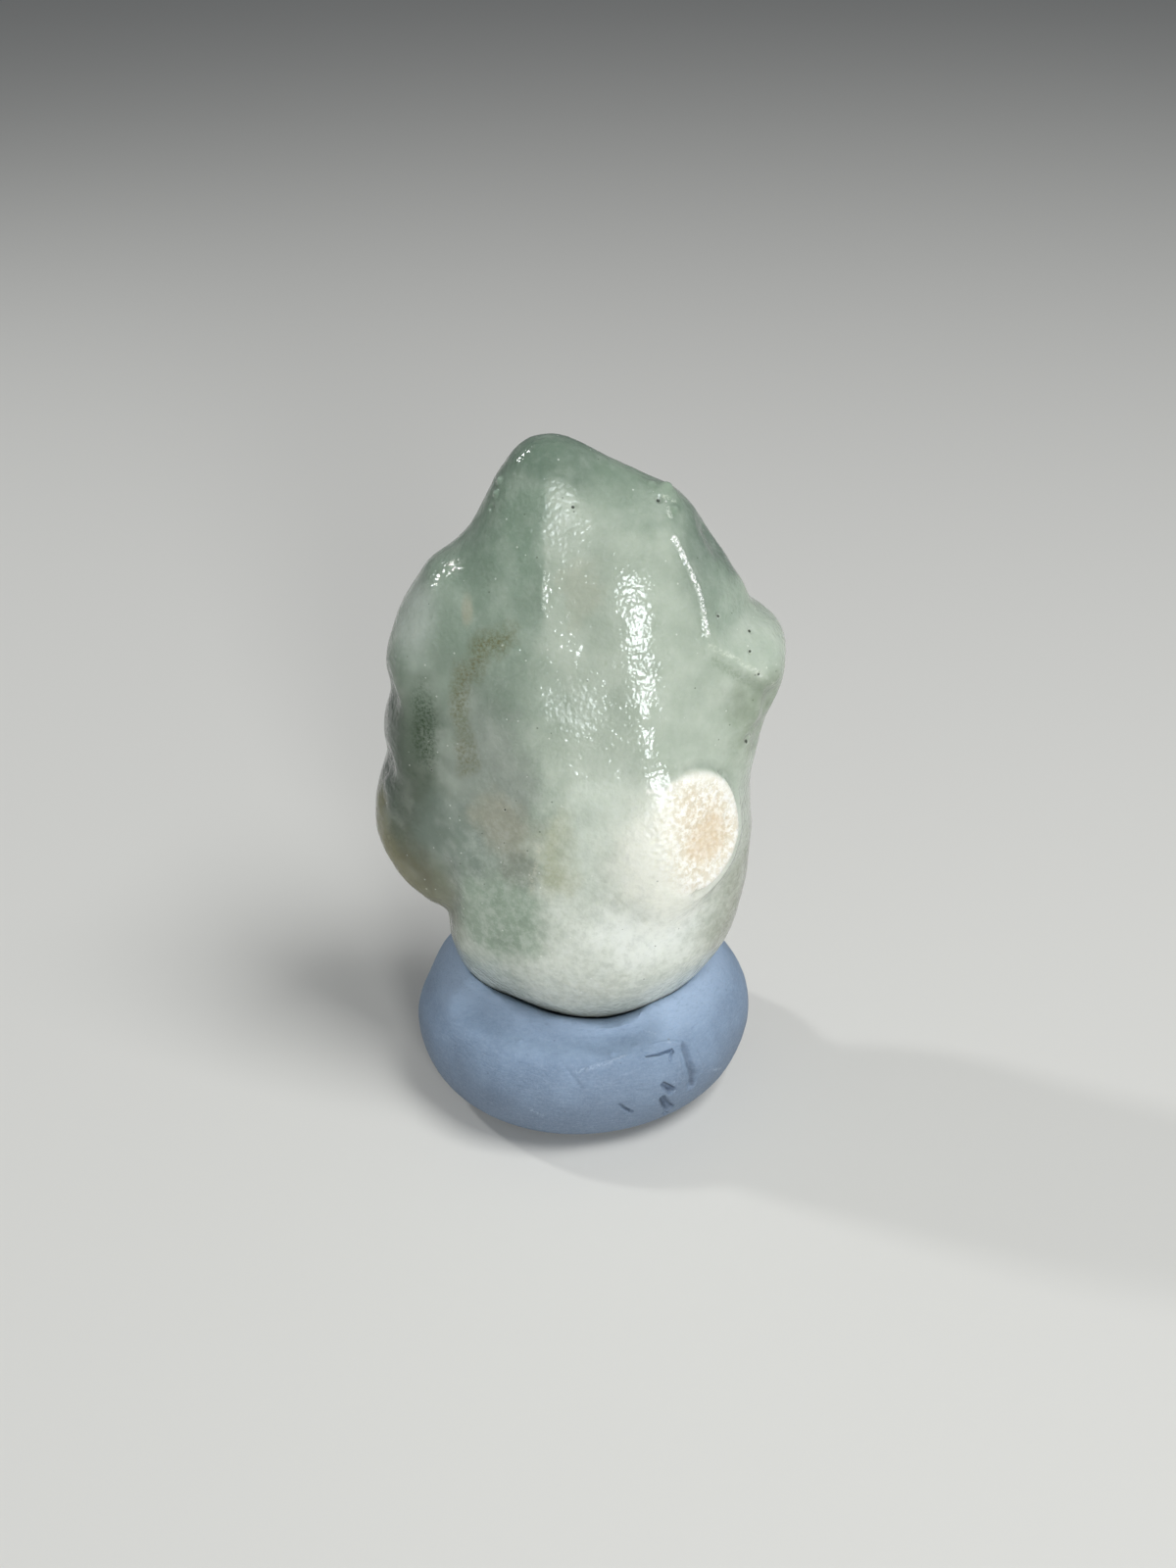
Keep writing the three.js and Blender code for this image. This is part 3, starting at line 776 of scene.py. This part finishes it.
OLIVE_RIM = [(-14.0, -0.6, 22.4), (-13.4, -1.6, 19.0), (-11.6, -2.6, 16.0), (-9.4, -1.6, 13.4)]
EYE_WISP = [(4.8, -7.9, 27.5), (5.6, -7.9, 27.3), (6.3, -7.7, 27.9)]
# Each streak has its line, its width, how far it drifts, its strength from the thin to the dense
# grain, and its colour.
STREAKS = {
    "olive thread": (OLIVE_THREAD, 1.2, 0.5, (0.2, 0.85), (108, 108, 70)),
    "cream edge": (CREAM_EDGE, 0.45, 0.5, (0.0, 0.45), (212, 211, 190)),
    "olive rim": (OLIVE_RIM, 2.2, 0.3, (0.6, 0.9), (132, 130, 96)),
    "wisp by the eye": (EYE_WISP, 0.30, 0.3, (0.5, 0.9), (244, 244, 238)),
    "shade below the ledge": (UNDER_LEDGE, 0.70, 0.15, (0.1, 0.6), (136, 151, 131)),
    "pale ledge": (KNOB_LEDGE, 0.28, 0.10, (-0.2, 0.8), (210, 217, 204)),
    # Painted highlight: white sparks along the crest, where its edge would catch the light.
    "painted sparks on the crest": (SHOULDER_CREST, 0.28, 0.05, (-0.9, 2.2), (252, 254, 252)),
    "upper chip": ([(5.7, 0.2, 44.5), (6.4, 0.1, 44.3)], 0.30, 0.1, (-0.2, 0.9), (214, 222, 208)),
    "lower chip": ([(5.9, -0.3, 43.9), (6.1, -0.8, 43.6)], 0.26, 0.1, (-0.2, 0.9), (222, 230, 220)),
    "fine line on the ridge": (RIDGE_LINE, 0.20, 0.02, (-0.4, 1.2), (222, 231, 222)),
}


# %% [markdown]
# ## Grounds, stains and painted shade
# The line between the two sides is crisp at the top and at the foot and blurred between them.
# A painter would glaze the clouds one over the other. The tints do the same: each one lays its
# colour on what lies below it, where its mask is bright. Some of the patches are painted shade,
# on slopes that turn from the light and under the knob. A slow mottling and a fine grain over
# all of them keep any one patch from looking flat.

# %% Grounds, stains and painted shade of the agate
SIDES_AT_FOOT, SIDES_AT_PEAK = -2.7, -1.7
CRISP_ABOVE, CRISP_BELOW = (34.0, 39.0), (25.0, 21.0)
CRISP_BLUR, SOFT_BLUR = 0.3, 2.6
MILK_FROM, MILK_TO = 28.0, 13.0
PALE_MOTTLE, DARK_MOTTLE = paint(220, 226, 216), paint(104, 122, 104)
PALE_GRAIN, DARK_GRAIN = paint(238, 242, 237), paint(128, 140, 130)


def agate_ground(tree, place, unrest):
    """The left, right and milky grounds of the stone."""
    axes = station(tree, "ShaderNodeSeparateXYZ", {"Vector": place}).outputs
    moved = station(tree, "ShaderNodeSeparateXYZ", {"Vector": unrest}).outputs
    parting = fade(tree, axes["Z"], 17.0, 47.0, SIDES_AT_FOOT, SIDES_AT_PEAK)
    above = fade(tree, axes["Z"], *CRISP_ABOVE)
    below = fade(tree, axes["Z"], *CRISP_BELOW)
    crisp = calculate(tree, "MAXIMUM", above, calculate(tree, "MULTIPLY", below, 0.7))
    blur = calculate(tree, "MULTIPLY_ADD", crisp, CRISP_BLUR - SOFT_BLUR, SOFT_BLUR)
    sway = calculate(tree, "MULTIPLY", moved["X"], calculate(tree, "MULTIPLY_ADD", crisp, -0.75, 1.0))
    beside = calculate(tree, "ADD", calculate(tree, "SUBTRACT", axes["X"], parting), sway)
    right_side = fade(tree, calculate(tree, "DIVIDE", beside, blur), -1.0, 1.0)
    ground = tint(tree, right_side, LEFT_GROUND, RIGHT_GROUND)
    height = calculate(tree, "ADD", axes["Z"], calculate(tree, "MULTIPLY", moved["Z"], 1.5))
    lower = fade(tree, height, MILK_FROM, MILK_TO)
    lean = fade(tree, axes["X"], -11.0, 2.0, 0.35, 0.9)
    return tint(tree, lower, ground, MILK, lean)


def scaled(tree, vector, factor):
    """The vector made longer or shorter."""
    return vector_calculate(tree, "MULTIPLY", vector, (factor, factor, factor))


def add_stains_and_painted_shade(tree, place, unrest, colour):
    """Lays the patches, the mottling and the grain on the colour."""
    # Some of the patches are painted shade; their names say which.
    for over, strength, centre, size, soft, ragged in PATCHES.values():
        mask = patch(tree, place, scaled(tree, unrest, ragged), centre, size, soft)
        colour = tint(tree, mask, colour, paint(*over), strength)
    mottle = clouds(tree, place, 0.42, detail=2.0, roughness=0.5).outputs["Fac"]
    colour = tint(tree, fade(tree, mottle, 0.45, 0.75, 0.0, 0.16), colour, PALE_MOTTLE)
    colour = tint(tree, fade(tree, mottle, 0.55, 0.25, 0.0, 0.16), colour, DARK_MOTTLE)
    grain = clouds(tree, place, 1.7, detail=4.0, roughness=0.7).outputs["Fac"]
    axes = station(tree, "ShaderNodeSeparateXYZ", {"Vector": place}).outputs
    low_down = fade(tree, axes["Z"], 30.0, 15.0, 0.25, 1.0)
    cloudy = calculate(tree, "MULTIPLY", low_down, fade(tree, axes["X"], -10.0, -6.0))
    colour = tint(tree, cloudy, colour, PALE_GRAIN, fade(tree, grain, 0.42, 0.68, 0.0, 0.20))
    return tint(tree, cloudy, colour, DARK_GRAIN, fade(tree, grain, 0.52, 0.34, 0.0, 0.14))


# %% [markdown]
# ## Threads, painted light, eye and pits
# These marks have places of their own. The lines of the threads, of the painted shade below the
# ledge and of the painted highlight on the crest are dropped onto the skin first, because the
# strokes have moved it. The eye is masked twice: an oval cuts it crisp on its right, and a fade
# lets it run out on its left. Each pit gets a darker bottom and, as bruised quartz has, a pale
# rim. Scattered specks stand for the pin-holes that are too small to model.

# %% Marks of the agate
COLOUR_STEP = 10
LITTLE = 0.3
STILL = (0.0, 0.0, 0.0)
DARK_STAIN = ((-9.8, -3.4, 29.8), (0.9, 3.0, 2.9), 1.1)
STAIN_GREEN = paint(46, 70, 42)
CRYSTAL_SHADE, CRYSTAL_WHITE = paint(218, 209, 188), paint(246, 245, 238)
CORE_TAN = paint(220, 200, 168)
RIM_SHADE, RIM_WHITE = paint(234, 235, 226), paint(248, 248, 244)
BRUISE, PIT_BOTTOM = paint(228, 234, 226), paint(56, 62, 52)
DARK_SPECK, PALE_SPECK = paint(72, 82, 66), paint(236, 240, 234)


def on_skin(piece, line):
    """The places of a line on the piece's skin, one for each given place."""
    return [tuple(spot) for spot in drop_on_skin(piece, line, step=COLOUR_STEP)]


def add_threads_and_painted_light(tree, place, unrest, colour):
    """Lays the dark stain and the streaks, painted shade and highlight among them, on the colour, broken up
    by a fine grain.
    """
    fine = clouds(tree, place, 4.5, detail=4.0, roughness=0.75).outputs["Fac"]
    stain = patch(tree, place, scaled(tree, unrest, LITTLE), *DARK_STAIN)
    colour = tint(tree, stain, colour, STAIN_GREEN, fade(tree, fine, 0.38, 0.66, 0.3, 1.0))
    for line, width, drift, strength, over in STREAKS.values():
        drifting = vector_calculate(tree, "MULTIPLY_ADD", unrest, (drift, drift, drift), place)
        mask = streak(tree, drifting, on_skin(stone, line), width)
        grains = fade(tree, fine, 0.36, 0.66, *strength)
        colour = tint(tree, mask, colour, paint(*over), grains)
    return colour


def add_eye(tree, place, unrest, colour):
    """Lays the white crystals of the eye on the colour, tan in their middle."""
    oval = patch(tree, place, STILL, tuple(EYE_CENTRE), (3.8, 3.8, 4.3), 0.14)
    offset = vector_calculate(tree, "SUBTRACT", place, tuple(EYE_CENTRE))
    across = vector_calculate(tree, "DOT_PRODUCT", offset, tuple(eye_across))
    eye = calculate(tree, "MULTIPLY", oval, fade(tree, across, -3.4, -0.2, 0.1, 0.95))
    inside = patch(tree, place, unrest, (7.9, -7.4, 24.0), (3.5, 3.5, 3.9), 0.9)
    crystals = clouds(tree, place, 2.6, detail=3.0, roughness=0.8).outputs["Fac"]
    grainy = tint(tree, fade(tree, crystals, 0.42, 0.60), CRYSTAL_SHADE, CRYSTAL_WHITE)
    core = patch(tree, place, unrest, (8.5, -7.0, 23.9), (1.3, 1.6, 1.6), 1.2)
    grainy = tint(tree, core, grainy, CORE_TAN, 0.6)
    pale_rim = tint(tree, fade(tree, crystals, 0.35, 0.65, 0.0, 0.5), RIM_SHADE, RIM_WHITE)
    return tint(tree, eye, colour, tint(tree, inside, pale_rim, grainy))


def add_pits(tree, place, colour):
    """Darkens the pits, pales their rims, and scatters dark and pale specks."""
    for pit, width, _ in PITS:
        bottom = on_skin(stone, [pit])[0]
        for size, strength, over in ((0.6, 0.2, BRUISE), (0.3, 0.9, PIT_BOTTOM)):
            mask = patch(tree, place, STILL, bottom, (size * width,) * 3, 0.8)
            colour = tint(tree, mask, colour, over, strength)
    colour = tint(tree, specks(tree, place, 1.3, 0.16, 0.07), colour, DARK_SPECK, 0.5)
    elsewhere = vector_calculate(tree, "ADD", place, (9.0, 4.0, 2.0))
    return tint(tree, specks(tree, elsewhere, 1.5, 0.25, 0.08), colour, PALE_SPECK, 0.45)


# %% [markdown]
# ## The agate's finish
# Three things make it waxy: light that enters and comes out a little further on (Subsurface),
# a tight gloss, and pimples that break the gloss into sparks. The bump carries the finest
# pimples, which are too small for the mesh. Three dull places keep the gloss from sparking
# where the photograph has none: round the eye, below the peak and left of the sparks.

# %% Agate material
UNREST = 2.2
POLISH, POLISH_WORN = 0.05, 0.09
PIMPLE_SCALE, PIMPLE_HEIGHT = 3.2, 0.068 * MM
QUARTZ_IOR = 1.54
# Each dull place has its middle, its half-widths, how softly it fades and its added roughness.
DULL_PLACES = {
    "round the eye": ((7.2, -7.6, 23.9), (4.0, 4.4, 4.1), 0.7, 0.35),
    "below the peak": ((-0.8, -1.9, 44.4), (1.9, 2.6, 2.2), 1.6, 0.26),
    "left of the sparks": ((-0.2, -6.6, 32.8), (2.2, 2.0, 1.8), 1.6, 0.25),
}


def agate_roughness(tree, place, unrest):
    """The gloss of the skin, duller in the dull places."""
    gloss = clouds(tree, place, 2.6, detail=2.0).outputs["Fac"]
    roughness = fade(tree, gloss, 0.3, 0.7, POLISH, POLISH_WORN)
    for centre, size, soft, dullness in DULL_PLACES.values():
        dull = patch(tree, place, scaled(tree, unrest, LITTLE), centre, size, soft)
        roughness = calculate(tree, "MULTIPLY_ADD", dull, dullness, roughness)
    return roughness


def make_agate():
    """The finished material of the stone."""
    material, tree, shader, place = new_material("agate")
    drift = clouds(tree, place, 0.38, detail=3.0, roughness=0.6).outputs["Color"]
    unrest = vector_calculate(tree, "MULTIPLY_ADD", drift, (2 * UNREST,) * 3, (-UNREST,) * 3)
    colour = agate_ground(tree, place, unrest)
    for add in (add_stains_and_painted_shade, add_threads_and_painted_light, add_eye):
        colour = add(tree, place, unrest, colour)
    tree.links.new(add_pits(tree, place, colour), shader.inputs["Base Color"])
    tree.links.new(agate_roughness(tree, place, unrest), shader.inputs["Roughness"])
    pimples = clouds(tree, place, PIMPLE_SCALE, detail=1.0, roughness=0.4).outputs["Fac"]
    relief = {"Height": pimples, "Strength": 1.0, "Distance": PIMPLE_HEIGHT}
    bump = station(tree, "ShaderNodeBump", relief)
    tree.links.new(bump.outputs["Normal"], shader.inputs["Normal"])
    shader.inputs["IOR"].default_value = QUARTZ_IOR
    shader.inputs["Subsurface Weight"].default_value = 0.85
    shader.inputs["Subsurface Radius"].default_value = (1.0, 1.0, 0.9)
    shader.inputs["Subsurface Scale"].default_value = 1.6 * MM
    return material


stone.data.materials.append(make_agate())
print("agate material has", len(stone.data.materials[0].node_tree.nodes), "nodes")

# %% [markdown]
# ## The putty's finish
# Putty is matt, with a faint oily sheen where fingers smoothed it. Its colour is nearly even:
# slow clouds from the kneading, level wipes, a fine grain, and a few crumbs of sand and dust.
# Painted shade darkens it towards the bottom, and painted light makes a pale band on its top.
# Scuffs are pale where something rubbed it, and painted shade darkens the cuts. A Mapping node
# squeezes a cloud pattern in height, which draws it out sideways into wipes.

# %% Putty material
SLATE, PALE_SLATE = paint(122, 144, 169), paint(134, 156, 181)
# Next, painted shade for the low sides of the putty, then painted light for its top.
PAINTED_LOW_SHADE, PAINTED_TOP_LIGHT = paint(96, 110, 128), paint(170, 191, 217)
PUTTY_GRAIN = paint(164, 178, 198)
PALE_WIPE, DARK_WIPE = paint(166, 182, 203), paint(98, 116, 140)
DUST, SAND = paint(86, 98, 114), paint(128, 128, 118)
# The second colour here is painted shade for the bottoms of the cuts.
SCUFF, CUT_SHADE_PAINT = paint(176, 192, 212), paint(52, 60, 72)
# Each scuff has its line and its width.
SCUFFS = {
    "crumb by the lip": ([(5.0, -7.7, 8.1), (5.6, -8.1, 8.1)], 0.16),
    "upper edge of the slit": ([(6.4, -8.7, 7.9), (7.2, -8.4, 7.4)], 0.18),
    "edge of the gouges": ([(6.9, -10.1, 5.4), (6.9, -10.0, 4.4)], 0.15),
    "curved scuff": (
        [(0.2, -11.2, 7.4), (1.2, -10.9, 7.5), (2.2, -10.6, 7.7), (3.4, -10.0, 7.8)], 0.22,
    ),
    "right scuff": ([(9.8, -7.6, 4.5), (10.3, -6.8, 3.9)], 0.20),
    "low scuff": ([(-3.1, -11.4, 4.4), (-2.2, -11.6, 4.0)], 0.18),
}


def wiped(tree, place, squeeze, scale, detail):
    """Clouds drawn out sideways."""
    squeezed = station(tree, "ShaderNodeMapping", {"Vector": place, "Scale": squeeze})
    return clouds(tree, squeezed.outputs["Vector"], scale, detail=detail, roughness=0.7).outputs["Fac"]


def make_putty():
    """The finished material of the putty."""
    material, tree, shader, place = new_material("putty")
    kneaded = clouds(tree, place, 0.35, detail=3.0, roughness=0.6).outputs["Fac"]
    colour = tint(tree, fade(tree, kneaded, 0.3, 0.7), SLATE, PALE_SLATE)
    height = station(tree, "ShaderNodeSeparateXYZ", {"Vector": place}).outputs["Z"]
    # Painted shade: darker towards the bottom.
    shaded_height = calculate(tree, "MULTIPLY_ADD", kneaded, 3.0, height)
    colour = tint(tree, fade(tree, shaded_height, 4.0, 11.0, 0.75, 0.0), colour, PAINTED_LOW_SHADE)
    # Painted light: a pale band on the top, where light from above falls.
    colour = tint(tree, fade(tree, height, 7.2, 9.2, 0.0, 0.8), colour, PAINTED_TOP_LIGHT)
    grain = clouds(tree, place, 6.0, detail=3.0, roughness=0.7).outputs["Fac"]
    colour = tint(tree, fade(tree, grain, 0.35, 0.7, 0.0, 0.22), colour, PUTTY_GRAIN)
    wipes = wiped(tree, place, (1.2, 1.2, 7.0), 1.2, 4.0)
    colour = tint(tree, fade(tree, wipes, 0.5, 0.75, 0.0, 0.25), colour, PALE_WIPE)
    colour = tint(tree, fade(tree, wipes, 0.5, 0.3, 0.0, 0.22), colour, DARK_WIPE)
    colour = tint(tree, specks(tree, place, 1.3, 0.20, 0.07), colour, DUST, 0.5)
    sand = specks(tree, vector_calculate(tree, "ADD", place, (5.0, 3.0, 7.0)), 0.7, 0.10, 0.07)
    colour = tint(tree, sand, colour, SAND, 0.5)
    for line, width in SCUFFS.values():
        mask = streak(tree, place, on_skin(putty, line), width)
        colour = tint(tree, mask, colour, SCUFF, fade(tree, grain, 0.4, 0.6, 0.0, 0.45))
    # Painted shade darkens the bottoms of the deeper cuts.
    for line, width, _, _, cut_shade in CUTS.values():
        if cut_shade:
            mask = streak(tree, place, on_skin(putty, line), 0.6 * width)
            colour = tint(tree, mask, colour, CUT_SHADE_PAINT, cut_shade)
    tree.links.new(colour, shader.inputs["Base Color"])
    tree.links.new(fade(tree, kneaded, 0.3, 0.7, 0.48, 0.62), shader.inputs["Roughness"])
    smears = wiped(tree, place, (1.0, 1.0, 3.0), 1.9, 5.0)
    relief = calculate(tree, "ADD", smears, calculate(tree, "MULTIPLY", grain, 0.4))
    bump = station(tree, "ShaderNodeBump", {"Height": relief, "Strength": 0.7, "Distance": 0.12 * MM})
    tree.links.new(bump.outputs["Normal"], shader.inputs["Normal"])
    shader.inputs["Specular IOR Level"].default_value = 0.3
    shader.inputs["Subsurface Weight"].default_value = 0.08
    shader.inputs["Subsurface Radius"].default_value = (0.6, 0.8, 1.0)
    shader.inputs["Subsurface Scale"].default_value = 0.5 * MM
    return material


putty.data.materials.append(make_putty())
print("putty material has", len(putty.data.materials[0].node_tree.nodes), "nodes")

# %% [markdown]
# ## Floor and light
# A pale floor takes the place of the table. Light and gloss are parted, as a photographer
# parts them with flags. A tall key light in front on the right shades the colours but casts no
# gloss. A wider spark light beside it gives only gloss: it draws the long column of sparks
# down the pale side. A small edge light behind on the left catches the lump, and a weak top
# light and a pale sky fill the rest.

# %% Floor, lights and sky
FLOOR_SIZE = 8.0
MIDDLE = Vector((0, 0, 26)) * MM
NEAR, FAR = 320 * MM, 450 * MM

bpy.ops.mesh.primitive_plane_add(size=FLOOR_SIZE)
floor = bpy.context.object
floor.name = "floor"
floor_material, _, floor_shader, _ = new_material("pale floor")
floor_shader.inputs["Base Color"].default_value = paint(218, 218, 214)
floor_shader.inputs["Roughness"].default_value = 0.75
floor_shader.inputs["Specular IOR Level"].default_value = 0.0
floor.data.materials.append(floor_material)


def soft_light(name, azimuth, elevation, distance, width, height, power):
    """A soft rectangle of light that faces the stone. Azimuth 0 is in front, 90 to the right."""
    turn, rise = math.radians(azimuth), math.radians(elevation)
    out = Vector((math.sin(turn) * math.cos(rise), -math.cos(turn) * math.cos(rise), math.sin(rise)))
    bpy.ops.object.light_add(type="AREA", location=MIDDLE + out * distance)
    light = bpy.context.object
    light.name = name
    light.rotation_euler = (-out).to_track_quat("-Z", "Y").to_euler()
    light.data.shape = "RECTANGLE"
    light.data.size = width
    light.data.size_y = height
    light.data.energy = power
    return light


key_light = soft_light("key", 14, 15, NEAR, 60 * MM, 170 * MM, 0.50)
key_light.visible_glossy = False
spark_light = soft_light("spark light", 17, 15, NEAR, 115 * MM, 180 * MM, 0.95)
spark_light.data.color = (0.90, 0.95, 1.0)
spark_light.visible_diffuse = False
soft_light("edge light", -113, 39, NEAR, 24 * MM, 40 * MM, 0.22)
top_light = soft_light("top light", 60, 60, FAR, 200 * MM, 200 * MM, 1.35)
top_light.visible_glossy = False

world = bpy.data.worlds.new("sky")
world.use_nodes = True
sky = world.node_tree.nodes["Background"].inputs
sky["Color"].default_value = (0.86, 0.90, 0.96, 1)
sky["Strength"].default_value = 0.15
bpy.context.scene.world = world
bpy.context.scene.view_settings.view_transform = "Standard"
